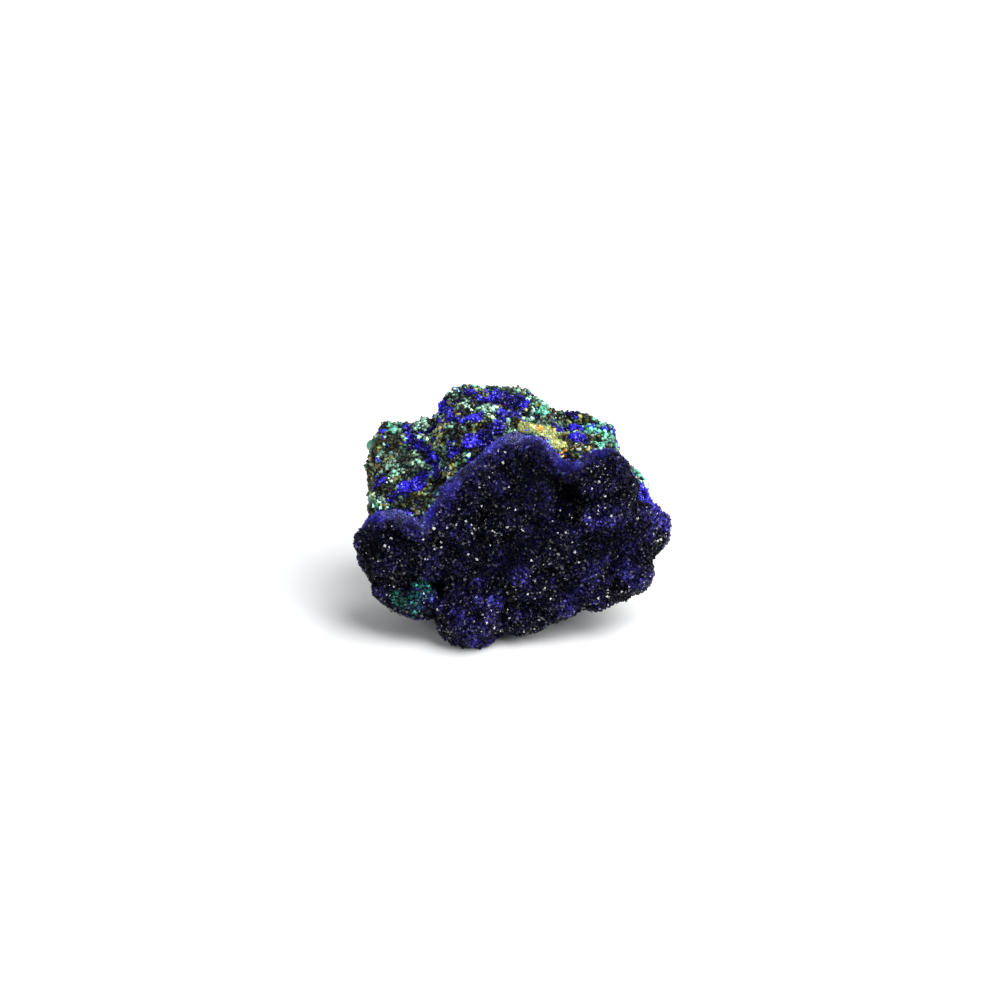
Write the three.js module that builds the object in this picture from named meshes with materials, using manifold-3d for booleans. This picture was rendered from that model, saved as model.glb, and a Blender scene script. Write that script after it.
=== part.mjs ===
// Azurite specimen: a chip of vein rock 28 mm wide, one solid because it grew and broke off as one piece.
// Its front is a crust of dark blue azurite in round lumps, set all over with crystal points. Above and
// behind the crust's wavy rim lies the matrix, whose layers of malachite, azurite and limonite are broken
// into ledges. Millimetres, +Z up. The crust faces -Y, and the origin lies on the resting surface under the
// middle of the box.
import * as THREE from "three";
import { ImprovedNoise } from "three/addons/math/ImprovedNoise.js";
import { mergeVertices } from "three/addons/utils/BufferGeometryUtils.js";
import Module from "manifold-3d";

// Driving dimensions
const WIDTH = 28; // the longest side, left to right
const HEART = new THREE.Vector3(-0.5, 0.5, 9.5); // the point that every ray to the surface leaves from
const FAR = 24; // where a ray starts its way in, outside everything
const RAY_DETAIL = 21; // cuts along each edge of the icosahedron that spreads the rays
const FRONT = new THREE.Vector3(0, -0.96, 0.28); // the way the crust faces
const FRONT_FINENESS = 2.2; // how many times more faces to an area the front has than the back
const RELAX_ROUNDS = 60;
const BLOCK_JOIN = 1.6; // width of the soft join between blocks of matrix
const LUMP_JOIN = 0.8; // width of the creases between lumps of crust
const CRUST_JOIN = 0.4; // width of the join between crust and matrix
const REST_CUT = 0.7; // how much of the lowest lumps is worn flat where it rests

// Matrix: rounded blocks, from left to right and then down, each with its middle, half sizes, turn in
// degrees about X, Y and Z, and the radius of its worn edges
const BLOCKS = [
  { middle: [-8.4, 1.8, 11.1], half: [4.3, 6.2, 4.9], turn: [26, 2, 6], worn: 2.3 },
  { middle: [-1.9, 1.7, 13.3], half: [5.0, 4.6, 7.4], turn: [5, 3, 6], worn: 2.4 },
  { middle: [4.5, 1.8, 11.8], half: [4.6, 4.2, 6.2], turn: [2, 6, -12], worn: 1.2 },
  { middle: [10.2, 1.7, 10.4], half: [2.0, 2.4, 2.4], turn: [0, 10, -20], worn: 1.1 },
  { middle: [1.2, 2.2, 6.8], half: [9.0, 5.6, 4.0], turn: [6, -8, -10], worn: 2.8 },
  { middle: [-0.4, 2.2, 3.2], half: [5.8, 5.4, 3.2], turn: [0, 0, 14], worn: 2.0 },
];

// Crust: beds that back the lumps, from left to right, and the lumps, each with its middle and radii
const BEDS = [
  { middle: [-8.2, -1.6, 8.4], half: [4.4, 2.4, 3.8], turn: [-14, 0, -12], worn: 2.0 },
  { middle: [-0.8, -1.8, 10.0], half: [5.6, 2.8, 8.2], turn: [-12, 0, 0], worn: 2.2 },
  { middle: [6.4, -1.2, 9.6], half: [5.0, 2.8, 6.2], turn: [-12, 0, 10], worn: 2.2 },
];
const LUMPS = [
  { middle: [-11.2, -3.2, 8.4], radii: [2.8, 2.6, 2.9] }, // left bulge
  { middle: [-10.4, -3.8, 5.1], radii: [2.3, 2.1, 2.0] },
  { middle: [-8.6, -4.6, 3.9], radii: [1.9, 1.8, 1.8] }, // the one stained green
  { middle: [-7.3, -3.6, 8.6], radii: [3.0, 2.4, 3.0] },
  { middle: [-5.1, -3.8, 12.0], radii: [2.4, 2.1, 2.6] },
  { middle: [-3.8, -5.3, 2.9], radii: [3.2, 3.0, 3.3] }, // the lobe that it rests on
  { middle: [-3.0, -4.2, 8.4], radii: [2.9, 2.3, 2.8] },
  { middle: [-0.6, -3.7, 11.6], radii: [2.9, 2.3, 2.7] },
  { middle: [-2.0, -3.1, 15.2], radii: [2.7, 2.1, 2.6] },
  { middle: [0.8, -2.6, 17.2], radii: [2.6, 1.9, 2.1] }, // under the rim's crest
  { middle: [1.7, -3.5, 14.2], radii: [2.1, 2.2, 2.2] }, // left of the hollow
  { middle: [3.2, -3.9, 9.6], radii: [2.9, 2.1, 2.5] },
  { middle: [0.4, -4.7, 6.0], radii: [2.8, 2.1, 2.6] },
  { middle: [1.2, -4.3, 2.8], radii: [2.6, 2.2, 2.3] },
  { middle: [4.2, -3.9, 4.4], radii: [2.6, 2.2, 2.4] },
  { middle: [6.2, -3.4, 7.6], radii: [2.8, 2.2, 2.6] },
  { middle: [8.1, -2.8, 11.5], radii: [2.5, 2.2, 2.5] },
  { middle: [8.2, -2.0, 15.5], radii: [2.2, 2.1, 1.8] }, // right of the hollow
  { middle: [7.8, -3.4, 4.6], radii: [2.2, 2.0, 1.9] },
  { middle: [10.5, -2.8, 5.7], radii: [2.4, 2.2, 2.1] },
  { middle: [11.0, -1.8, 8.8], radii: [2.5, 2.2, 2.6] },
  { middle: [12.5, -0.6, 9.0], radii: [1.8, 1.9, 2.4] }, // right lobe
];

// Rim: the crest of the crust's rolled edge, from left to right, and the lip's radius
const RIM = [
  [-12.9, -2.4, 9.6],
  [-11.9, -4.2, 11.7],
  [-10.2, -4.6, 12.2],
  [-8.4, -5.0, 11.4],
  [-6.9, -4.6, 12.8],
  [-5.6, -4.2, 14.8],
  [-3.4, -3.8, 16.7],
  [-1.6, -3.5, 18.6],
  [0.2, -3.2, 19.3],
  [2.2, -3.2, 18.8],
  [3.6, -3.3, 17.4],
  [5.0, -3.4, 16.4],
  [6.7, -2.9, 16.7],
  [8.4, -2.2, 17.1],
  [9.4, -1.5, 16.2],
  [10.2, -1.0, 14.4],
];
const LIP_RADIUS = 0.75;
const ROPE_SPACING = 0.5; // between the points that stand for a curve

// Hollows in the crust, each with its middle and radii
const HOLLOWS = [
  { middle: [5.1, -5.0, 13.6], radii: [1.9, 3.9, 2.2] }, // the deep one under the rim's dip
  { middle: [-12.2, -5.7, 9.3], radii: [0.8, 1.4, 0.7] },
  { middle: [-6.5, -6.6, 5.6], radii: [0.9, 2.2, 1.4] }, // beside the resting lobe
  { middle: [3.5, -6.0, 7.3], radii: [0.9, 1.0, 0.6] },
  { middle: [7.3, -5.6, 8.9], radii: [0.8, 1.0, 0.7] },
];
const HOLLOW_JOIN = 0.7;

// Creases between lumps, each with the points that it passes through and the radius of its round bottom
const CREASES = [
  { path: [[0.2, -5.4, 14.7], [0.8, -6.0, 13.9], [1.4, -5.8, 12.8], [2.6, -5.0, 11.9]], radius: 0.6 },
  { path: [[6.8, -3.9, 14.0], [8.0, -4.3, 14.1], [9.3, -3.8, 14.0], [10.4, -2.8, 13.8]], radius: 0.45 },
  { path: [[-12.3, -5.2, 9.5], [-11.2, -5.9, 9.7], [-10.1, -5.7, 10.1]], radius: 0.4 },
  { path: [[-5.2, -6.0, 10.0], [-5.8, -6.2, 8.6], [-6.4, -5.6, 6.9]], radius: 0.5 },
  { path: [[-1.1, -6.8, 6.9], [-0.6, -7.1, 5.8], [-0.7, -6.5, 4.2], [-0.8, -6.6, 3.0]], radius: 0.5 },
];

// Relief
const BEND_SIZE = 4.5; // of the slow bends in the matrix's broken faces
const BEND_DEPTH = 1.1;
const LAYER_PITCH = 2.1; // from one ledge of the matrix to the next
const LEDGE_DEPTH = 0.6;
const GRAIN_SIZE = 1.3;
const GRAIN_DEPTH = 0.4;
const KNOB_SIZE = 1.7; // small knobs on the lumps
const KNOB_DEPTH = 0.3;
const CRYSTAL_HEIGHT = 0.38; // of a crystal point over the crust
const CRYSTAL_LEAN = 0.4; // how far a tip leans to one side, as a share of its height
const SPALL_HEIGHT = 0.26; // of a broken corner over the matrix

const noise = new ImprovedNoise();

// Distance from a point to a block, negative inside, with its edges rounded off by its worn radius.
function blockShape({ middle, half, turn, worn }) {
  const unturn = new THREE.Matrix4()
    .makeRotationFromEuler(new THREE.Euler(...turn.map(THREE.MathUtils.degToRad)))
    .setPosition(...middle)
    .invert();
  const core = new THREE.Vector3(...half).subScalar(worn);
  const local = new THREE.Vector3();
  return (p) => {
    local.copy(p).applyMatrix4(unturn);
    const x = Math.abs(local.x) - core.x;
    const y = Math.abs(local.y) - core.y;
    const z = Math.abs(local.z) - core.z;
    const outside = Math.hypot(Math.max(x, 0), Math.max(y, 0), Math.max(z, 0));
    return outside + Math.min(Math.max(x, y, z), 0) - worn;
  };
}

// Nearly the distance from a point to an ellipsoid, negative inside.
function lumpShape({ middle, radii }) {
  const [a, b, c] = radii;
  return (p) => {
    const x = (p.x - middle[0]) / a;
    const y = (p.y - middle[1]) / b;
    const z = (p.z - middle[2]) / c;
    const scaled = Math.hypot(x, y, z);
    const slope = Math.hypot(x / a, y / b, z / c);
    return slope > 0 ? (scaled * (scaled - 1)) / slope : -Math.min(a, b, c);
  };
}

// Distance from a point to a round rope along a curve: the rim's rolled lip, or what a crease takes away.
function ropeShape({ path, radius }) {
  const curve = new THREE.CatmullRomCurve3(path.map((at) => new THREE.Vector3(...at)));
  const beads = curve.getSpacedPoints(Math.ceil(curve.getLength() / ROPE_SPACING));
  return (p) => Math.sqrt(Math.min(...beads.map((bead) => bead.distanceToSquared(p)))) - radius;
}

// The nearer of two shapes, with a soft join of the given width, and its opposite, a soft cut.
function join(a, b, width) {
  const share = Math.max(width - Math.abs(a - b), 0) / width;
  return Math.min(a, b) - (share * share * width) / 4;
}
const cut = (body, tool, width) => -join(-body, tool, width);

const blocks = BLOCKS.map(blockShape);
const lip = ropeShape({ path: RIM, radius: LIP_RADIUS });
const crustParts = [...BEDS.map(blockShape), lip, ...LUMPS.map(lumpShape)];
const hollows = [...HOLLOWS.map(lumpShape), ...CREASES.map(ropeShape)];

// A point moved by slow noise, which bends flat and straight shapes as a break through rock does.
function bend({ x, y, z }) {
  const [u, v, w] = [x / BEND_SIZE, y / BEND_SIZE, z / BEND_SIZE];
  return new THREE.Vector3(
    x + BEND_DEPTH * noise.noise(u, v, w),
    y + BEND_DEPTH * noise.noise(u + 17, v, w),
    z + BEND_DEPTH * noise.noise(u, v + 17, w),
  );
}

// Ledges follow the layers, which lie parallel to the crust, and grains break them up.
function matrixGap(p) {
  const bent = bend(p);
  const body = blocks.map((shape) => shape(bent)).reduce((a, b) => join(a, b, BLOCK_JOIN));
  const wander = noise.noise(p.x / 5, p.y / 5, p.z / 5) * LAYER_PITCH;
  const layer = (p.dot(FRONT) + wander) / LAYER_PITCH;
  const ledge = Math.abs(2 * (layer - Math.floor(layer)) - 1) - 0.5;
  const grain = noise.noise(p.x / GRAIN_SIZE, p.y / GRAIN_SIZE, p.z / GRAIN_SIZE);
  return body + LEDGE_DEPTH * ledge + GRAIN_DEPTH * grain;
}

// Lumps join in creases and carry smaller knobs.
function crustGap(p) {
  const body = crustParts.map((shape) => shape(p)).reduce((a, b) => join(a, b, LUMP_JOIN));
  const knob = noise.noise(p.x / KNOB_SIZE + 40, p.y / KNOB_SIZE, p.z / KNOB_SIZE);
  return body + KNOB_DEPTH * knob;
}

// Crust and matrix together, with the hollows and creases taken out of both.
function specimenGap(p) {
  const body = join(matrixGap(p), crustGap(p), CRUST_JOIN);
  return hollows.map((shape) => shape(p)).reduce((a, b) => cut(a, b, HOLLOW_JOIN), body);
}

// How far from the heart a ray meets the surface, coming in from outside.
function reachAlong(direction) {
  const CAUTION = 0.6;
  const TOUCH = 0.01;
  const p = new THREE.Vector3();
  let reach = FAR;
  let gap = Infinity;
  while (gap > TOUCH && reach > 0) {
    gap = specimenGap(p.copy(HEART).addScaledVector(direction, reach));
    reach -= Math.max(gap, TOUCH) * CAUTION;
  }
  return reach;
}

// The geodesic sphere of rays, each vertex moved out to the specimen's surface.
function skin() {
  const sphere = new THREE.IcosahedronGeometry(1, RAY_DETAIL);
  sphere.deleteAttribute("normal");
  sphere.deleteAttribute("uv");
  const geometry = mergeVertices(sphere);
  const position = geometry.getAttribute("position");
  const ray = new THREE.Vector3();
  for (let i = 0; i < position.count; i++) {
    ray.fromBufferAttribute(position, i).normalize();
    ray.multiplyScalar(reachAlong(ray)).add(HEART);
    position.setXYZ(i, ray.x, ray.y, ray.z);
  }
  return geometry;
}

// The vertices that share an edge with each vertex.
function neighboursOf(geometry) {
  const neighbours = Array.from({ length: geometry.getAttribute("position").count }, () => new Set());
  const index = geometry.index.array;
  for (let i = 0; i < index.length; i += 3) {
    for (const [from, to] of [[0, 1], [1, 2], [2, 0]]) {
      neighbours[index[i + from]].add(index[i + to]);
      neighbours[index[i + to]].add(index[i + from]);
    }
  }
  return neighbours.map((set) => [...set]);
}

// The way out of the specimen at a point: the slope of its distance, not scaled to 1.
function slopeAt(p) {
  const STEP = 0.02;
  const gap = specimenGap(p);
  const probe = new THREE.Vector3();
  const riseTo = (x, y, z) => specimenGap(probe.set(p.x + x, p.y + y, p.z + z)) - gap;
  return new THREE.Vector3(riseTo(STEP, 0, 0), riseTo(0, STEP, 0), riseTo(0, 0, STEP)).divideScalar(STEP);
}

// Each vertex slides towards the larger of the faces around it and back onto the surface, so that the faces
// even out and follow the hollows and the undersides of lumps, which no ray meets squarely.
function relax(geometry) {
  const position = geometry.getAttribute("position");
  const index = geometry.index.array;
  const face = new THREE.Triangle();
  const middle = new THREE.Vector3();
  const normal = new THREE.Vector3();
  const p = new THREE.Vector3();
  for (let round = 0; round < RELAX_ROUNDS; round++) {
    const sums = Array.from({ length: position.count }, () => new THREE.Vector3());
    const weights = new Float64Array(position.count);
    for (let i = 0; i < index.length; i += 3) {
      const corners = index.slice(i, i + 3);
      face.setFromAttributeAndIndices(position, ...corners);
      const fineness = face.getNormal(normal).dot(FRONT) > 0.2 ? FRONT_FINENESS : 1;
      const weight = face.getArea() * fineness;
      face.getMidpoint(middle);
      for (const corner of corners) {
        sums[corner].addScaledVector(middle, weight);
        weights[corner] += weight;
      }
    }
    for (let i = 0; i < position.count; i++) {
      p.copy(sums[i]).divideScalar(weights[i]);
      const slope = slopeAt(p);
      p.addScaledVector(slope, -specimenGap(p) / Math.max(slope.lengthSq(), 0.5));
      position.setXYZ(i, p.x, p.y, p.z);
    }
  }
}

// A repeatable number from 0 to 1 for each number.
function chance(seed) {
  const wave = Math.sin(seed * 127.1 + 11.7) * 43758.5453;
  return wave - Math.floor(wave);
}

// Crystals: no two tips share an edge, so each tip raises the flat faces around it into one point. On the
// crust they are azurite crystals, and on the matrix the lower corners of broken grains.
function raiseTips(geometry, neighbours) {
  const position = geometry.getAttribute("position");
  const tips = new Set();
  const p = new THREE.Vector3();
  const lean = new THREE.Vector3();
  const shuffled = neighbours.map((_, i) => i).sort((a, b) => chance(a) - chance(b));
  for (const i of shuffled) {
    if (neighbours[i].some((n) => tips.has(n))) continue;
    tips.add(i);
    p.fromBufferAttribute(position, i);
    const height = (crustGap(p) < matrixGap(p) ? CRYSTAL_HEIGHT : SPALL_HEIGHT) * (0.2 + chance(i + 0.5));
    lean.set(chance(i + 0.2), chance(i + 0.4), chance(i + 0.6)).subScalar(0.5);
    p.addScaledVector(slopeAt(p).normalize().addScaledVector(lean, 2 * CRYSTAL_LEAN), height);
    position.setXYZ(i, p.x, p.y, p.z);
  }
}

// The lowest lumps are worn flat, so that the specimen rests on them.
function restFlat(geometry, wasm) {
  geometry.computeBoundingBox();
  const { min } = geometry.boundingBox;
  const solid = solidFrom(geometry, wasm);
  const slab = new THREE.BoxGeometry(4 * FAR, 4 * FAR, FAR);
  slab.deleteAttribute("normal");
  slab.deleteAttribute("uv");
  slab.translate(0, 0, min.z + REST_CUT - FAR / 2);
  return geometryFrom(solid.subtract(solidFrom(mergeVertices(slab), wasm)));
}

function solidFrom(geometry, wasm) {
  const vertProperties = geometry.getAttribute("position").array;
  const triVerts = new Uint32Array(geometry.index.array);
  return new wasm.Manifold(new wasm.Mesh({ numProp: 3, vertProperties, triVerts }));
}

function geometryFrom(solid) {
  const { vertProperties, triVerts } = solid.getMesh();
  return new THREE.BufferGeometry()
    .setAttribute("position", new THREE.BufferAttribute(vertProperties, 3))
    .setIndex(new THREE.BufferAttribute(triVerts, 1));
}

// To the stated width, with the middle of the box over the origin and the flats on the resting surface.
function setDown(geometry) {
  geometry.computeBoundingBox();
  const { min, max } = geometry.boundingBox;
  const scale = WIDTH / (max.x - min.x);
  geometry.translate(-(min.x + max.x) / 2, -(min.y + max.y) / 2, -min.z);
  geometry.scale(scale, scale, scale);
  return geometry;
}

const wasm = await Module();
wasm.setup();
const rough = skin();
relax(rough);
raiseTips(rough, neighboursOf(rough));
const specimen = new THREE.Mesh(
  setDown(restFlat(rough, wasm)),
  new THREE.MeshStandardMaterial({ color: 0x1c1648, roughness: 0.35, metalness: 0 }),
);
specimen.name = "azurite_specimen";

const group = new THREE.Group();
group.add(specimen);
export default group;
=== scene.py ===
# %% [markdown]
# # An azurite specimen
# A chip of vein rock, a little under three centimetres wide. One side grew into an open pocket and is
# covered by a crust of tiny, nearly black azurite crystals that flash white where a flat face meets the
# light. The crust ends in a rolled, wavy rim of brighter blue. Above and behind the rim lies the matrix:
# crumbly layers of green malachite, blue azurite, brown rock and a little yellow ochre.
#
# The part's solid gives the overall form. This lesson builds a finer skin on that form from arrays and
# then grows crystals and grains on it.

# %% The frame
import bpy
import numpy as np
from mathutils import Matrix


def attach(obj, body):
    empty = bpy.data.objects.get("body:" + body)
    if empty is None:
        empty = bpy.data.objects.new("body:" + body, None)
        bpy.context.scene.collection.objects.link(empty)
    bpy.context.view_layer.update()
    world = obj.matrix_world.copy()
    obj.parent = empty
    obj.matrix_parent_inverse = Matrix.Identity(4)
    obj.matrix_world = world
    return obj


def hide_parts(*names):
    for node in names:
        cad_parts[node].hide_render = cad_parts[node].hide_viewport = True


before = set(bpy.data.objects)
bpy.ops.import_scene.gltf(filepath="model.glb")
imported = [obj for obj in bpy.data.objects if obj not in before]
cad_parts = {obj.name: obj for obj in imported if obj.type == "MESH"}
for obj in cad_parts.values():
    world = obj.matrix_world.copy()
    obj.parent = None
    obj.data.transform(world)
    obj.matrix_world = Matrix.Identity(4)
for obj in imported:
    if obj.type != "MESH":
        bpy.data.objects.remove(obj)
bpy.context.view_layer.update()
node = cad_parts["azurite_specimen"]

# %% [markdown]
# ## Arrays from the solid
# The solid arrives as loose triangles. Vertices that share a place become one, so that the surface is one
# closed sheet. All work below is in millimetres, and only finished pieces go back to metres.

# %% Welding the solid
MM = 0.001


def welded(mesh):
    """Points in mm and triangles, where vertices within a thousandth of a millimetre are one."""
    spots = np.empty(3 * len(mesh.vertices))
    mesh.vertices.foreach_get("co", spots)
    mesh.calc_loop_triangles()
    corners = np.empty(3 * len(mesh.loop_triangles), np.int32)
    mesh.loop_triangles.foreach_get("vertices", corners)
    spots = spots.reshape(-1, 3) / MM
    _, first, same = np.unique(np.round(spots, 3), axis=0, return_index=True, return_inverse=True)
    return spots[first], same.reshape(-1)[corners].reshape(-1, 3)


solid_points, solid_faces = welded(node.data)
print("welded:", len(solid_points), "points,", len(solid_faces), "triangles")

# %% [markdown]
# ## A finer skin
# The solid's points stand for crystals, so the skin first loses them: every point moves towards the mean of
# its neighbours, and then a little less far back, which keeps the volume. Then each triangle is cut into
# four, twice. A much smoother copy tells where the rock bulges and where it has hollows: the distance between
# the two copies goes along as a fourth column, because the crust gets painted light on the bulges and
# painted shade in the hollows.

# %% Smoothing and splitting
PULL, PUSH = 0.5, -0.52
FEW_ROUNDS, MANY_ROUNDS = 6, 60
SPLITS, ROUNDS_AFTER_SPLIT = 2, 2


def edges_of(faces):
    """Every edge once, as pairs of point numbers, and which three edges each triangle has."""
    pairs = np.sort(faces[:, [[0, 1], [1, 2], [2, 0]]].reshape(-1, 2), axis=1)
    edges, where = np.unique(pairs, axis=0, return_inverse=True)
    return edges, where.reshape(-1, 3)


def smoothed(points, faces, rounds):
    """Each round pulls the points a share of the way to the mean of their neighbours, and then pushes them
    away from the new mean by a slightly larger share of what is left."""
    edges, _ = edges_of(faces)
    here, there = np.concatenate([edges, edges[:, ::-1]]).T
    count = np.bincount(here, minlength=len(points))[:, None]
    for step in [PULL, PUSH] * rounds:
        total = np.stack([np.bincount(here, column[there], len(points)) for column in points.T], 1)
        points = points + step * (total / count - points)
    return points


def split(points, faces):
    """Four triangles from each one, through the middles of its edges."""
    edges, where = edges_of(faces)
    (a, b, c), (ab, bc, ca) = faces.T, (where + len(points)).T
    quarters = [(a, ab, ca), (ab, b, bc), (ca, bc, c), (ab, bc, ca)]
    return (
        np.concatenate([points, points[edges].mean(1)]),
        np.concatenate([np.stack(quarter, 1) for quarter in quarters]),
    )


def normals_of(points, faces):
    """Unit normals of the points: the sum of the cross products of the triangles that meet there."""
    a, b, c = points[faces].transpose(1, 0, 2)
    cross = np.cross(b - a, c - a)
    total = np.stack(
        [np.bincount(faces.ravel(), np.repeat(cross[:, k], 3), len(points)) for k in range(3)], 1
    )
    return total / np.linalg.norm(total, axis=1, keepdims=True)


skin, faces = smoothed(solid_points, solid_faces, FEW_ROUNDS), solid_faces
broad = smoothed(solid_points, solid_faces, MANY_ROUNDS)
bulge = ((skin - broad) * normals_of(broad, faces)).sum(1)
skin = np.column_stack([skin, bulge])
for _ in range(SPLITS):
    skin, faces = split(skin, faces)
    skin = smoothed(skin, faces, ROUNDS_AFTER_SPLIT)
skin, bulge = skin[:, :3], skin[:, 3]
print("skin:", len(skin), "points,", len(faces), "triangles")
print("bulges from", round(float(bulge.min()), 2), "to", round(float(bulge.max()), 2), "mm")

# %% [markdown]
# ## Noise
# Rock is irregular at every size. Two kinds of noise are enough here. The first blends random values at the
# corners of a grid of cubes. The second measures how far the nearest of scattered points is, one in each
# cube, which makes rounded crumbs.

# %% Two kinds of noise
MIX = np.array([12.9898, 78.233, 37.719])
SEED_STEP, HUGE = 4.1414, 43758.5453
AXIS_SEEDS = (0.1, 0.2, 0.3)


def chance(cells, seed):
    """A repeatable number from 0 to 1 for each row of whole numbers: mixed into one number, its sine, times
    a huge factor, and of that the fraction."""
    wave = np.sin(cells @ MIX + SEED_STEP * seed) * HUGE
    return wave - np.floor(wave)


def cloud(points, size, seed):
    """Smooth noise from -1 to 1: random corner values of cubes with that edge, blended by smooth steps."""
    cell = np.floor(points / size)
    step = points / size - cell
    step = step * step * (3 - 2 * step)
    total = np.zeros(len(points))
    for corner in np.ndindex(2, 2, 2):
        share = np.where(corner, step, 1 - step).prod(1)
        total += share * chance(cell + corner, seed)
    return 2 * total - 1


def crumbs(points, size, seed):
    """How far the nearest scattered point lies, in cube edges: 0 at a crumb's top, about 0.7 in the gaps."""
    cell = np.floor(points / size)
    nearest = np.full(len(points), np.inf)
    for step in np.ndindex(3, 3, 3):
        near = cell + np.array(step) - 1
        spot = near + np.stack([chance(near, seed + k) for k in AXIS_SEEDS], 1)
        nearest = np.minimum(nearest, ((points / size - spot) ** 2).sum(1))
    return np.sqrt(nearest)


for kind in (cloud, crumbs):
    sample = kind(skin, 2.0, 1)
    print(kind.__name__, "on the skin:", round(float(sample.min()), 2), "to", round(float(sample.max()), 2))

# %% [markdown]
# ## The rim
# The rim is where the crust's edge rolls over. Its crest is a smooth curve from left to right. It could be
# searched for in the mesh, but a curve through a few chosen points, in millimetres, is easier to steer. Every
# place on the rock gets a signed distance to it: negative on the crust's side, positive on the matrix's side.

# %% Distance to the rim
TINY = 1e-9
CREST_COUNT = 160
CREST_OUTWARDS = [0, -0.6, 0.8]
RIM = np.array([
    (-12.9, -2.6, 10.1), (-11.6, -4.2, 12.1), (-9.9, -4.8, 12.6), (-8.1, -5.2, 11.9),
    (-6.8, -4.8, 13.2), (-5.5, -4.4, 15.0), (-3.4, -4.0, 16.9), (-1.7, -3.7, 18.7),
    (0.1, -3.4, 19.3), (2.0, -3.4, 18.9), (3.4, -3.4, 17.6), (4.7, -3.5, 16.7),
    (6.3, -3.0, 16.9), (8.0, -2.3, 17.3), (9.0, -1.6, 16.4), (9.9, -1.1, 14.6),
])


def along(corners, count):
    """Evenly numbered points on a curve through the corners: on each span, a cubic whose slope at a corner
    is half the way between that corner's neighbours."""
    ends = np.concatenate([2 * corners[:1] - corners[1:2], corners, 2 * corners[-1:] - corners[-2:-1]])
    t = np.linspace(0, len(corners) - 1 - TINY, count)
    k, t = t.astype(int), (t % 1)[:, None]
    a, b, c, d = ends[k], ends[k + 1], ends[k + 2], ends[k + 3]
    return 0.5 * (2 * b + (c - a) * t + (2 * a - 5 * b + 4 * c - d) * t**2 + (3 * b - a - 3 * c + d) * t**3)


def nearest_on(points, line):
    """Distance to the nearest of a line's points, and its number."""
    square = (points**2).sum(1)[:, None] - 2 * points @ line.T + (line**2).sum(1)
    number = square.argmin(1)
    return np.sqrt(np.maximum(square[np.arange(len(points)), number], 0)), number


CREST = along(RIM, CREST_COUNT)
CREST_BACK = np.cross(CREST_OUTWARDS, np.gradient(CREST, axis=0))


def past_rim(points):
    """Signed distance to the crest: its sign says whether the way from the crest leads up and back."""
    distance, number = nearest_on(points, CREST)
    return distance * np.sign(((points - CREST[number]) * CREST_BACK[number]).sum(1))


def beside_rim(points, values):
    """A value for each place from values at the crest's corners, by the crest's nearest point."""
    number = nearest_on(points, CREST)[1]
    return np.interp(number, np.linspace(0, CREST_COUNT - 1, len(RIM)), values)


rim_gap = past_rim(skin)
print("length of the crest in mm:", round(float(np.linalg.norm(np.diff(CREST, axis=0), axis=1).sum()), 1))
print("distances to the rim:", round(float(rim_gap.min()), 1), "to", round(float(rim_gap.max()), 1), "mm")

# %% [markdown]
# Nothing on a rock ends in a hard line. Three more helpers make soft and frayed edges: a smooth step, the
# depth inside roundish patches, and noise that is added to a depth before the step, so that the edge wanders.


# %% Soft and frayed edges
def fade(value, low, high):
    """A smooth step from 0 at low to 1 at high."""
    t = np.clip((value - low) / (high - low), 0, 1)
    return t * t * (3 - 2 * t)


def inside(points, patches):
    """How deep each place lies in the nearest patch: 1 at its middle, 0 at its radius, negative outside."""
    middles = np.array([middle for middle, _ in patches])
    radii = np.array([radius for _, radius in patches])
    return (1 - np.linalg.norm(points[:, None] - middles, axis=2) / radii).max(1)


def ragged(points, size):
    """Noise in two sizes, the given one and 0.4 of it, mostly between -0.8 and 0.8, that frays an edge."""
    return 0.6 * cloud(points, 0.4 * size, 21) + 0.6 * cloud(points, size, 22)


print("noise that frays:", np.round(np.percentile(ragged(skin, 1.5), [1, 99]), 2))

# %% [markdown]
# ## What the matrix is made of
# Seams of bright azurite run more or less along the rim. Each is half its width and a path on the surface, in
# millimetres. They could be painted on, but then the grains that stand there would have other colours.

# %% Seams of azurite
SEAM_COUNT = 40
SEAMS = [
    (0.6, [(-12.2, -1.6, 13.8), (-11.6, -2.0, 14.0)]),
    (0.55, [
        (-10.6, -3.8, 13.5), (-9.7, -3.3, 13.9), (-8.5, -2.9, 14.3), (-7.6, -2.3, 14.9), (-6.7, -2.3, 15.1),
    ]),
    (0.7, [(-6.7, -2.3, 15.1), (-6.6, -2.0, 15.7), (-7.3, -0.7, 16.0)]),
    (0.6, [(-9.4, 2.9, 17.0), (-9.0, 1.6, 16.5), (-8.3, 1.2, 16.1), (-7.1, -0.8, 16.1)]),
    (0.75, [
        (-5.2, -3.4, 18.1), (-4.0, -3.8, 18.8), (-2.8, -3.1, 18.8), (-1.9, -2.7, 19.3), (-1.5, -2.4, 19.6),
    ]),
    (0.5, [
        (-6.3, 3.4, 18.7), (-5.5, 2.4, 18.9), (-5.1, -0.2, 19.4), (-3.6, -1.6, 20.2), (-2.7, -1.4, 20.4),
    ]),
    (0.55, [(-3.9, 3.6, 20.4), (-3.2, 2.7, 20.2), (-2.9, 2.7, 20.2)]),
    (0.95, [(-1.5, 2.6, 20.2), (-0.5, 1.9, 20.1), (0.5, 1.8, 20.0), (0.9, 1.7, 20.0)]),
    (0.65, [(-0.7, -0.5, 19.9), (0.0, 0.1, 19.8), (0.7, 1.0, 19.6)]),
    (0.4, [(3.4, 2.0, 18.1), (3.7, 2.1, 18.0)]),
    (0.4, [(4.9, 3.9, 17.8), (5.3, 3.9, 17.7)]),
    (0.5, [(4.5, 1.7, 17.3), (5.8, 2.1, 17.2)]),
    (0.45, [(5.3, -0.3, 17.4), (6.8, 0.1, 17.1)]),
    (1.0, [(10.9, -0.9, 12.1), (11.6, 0.4, 11.7), (11.7, 0.1, 11.2)]),
]


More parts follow.
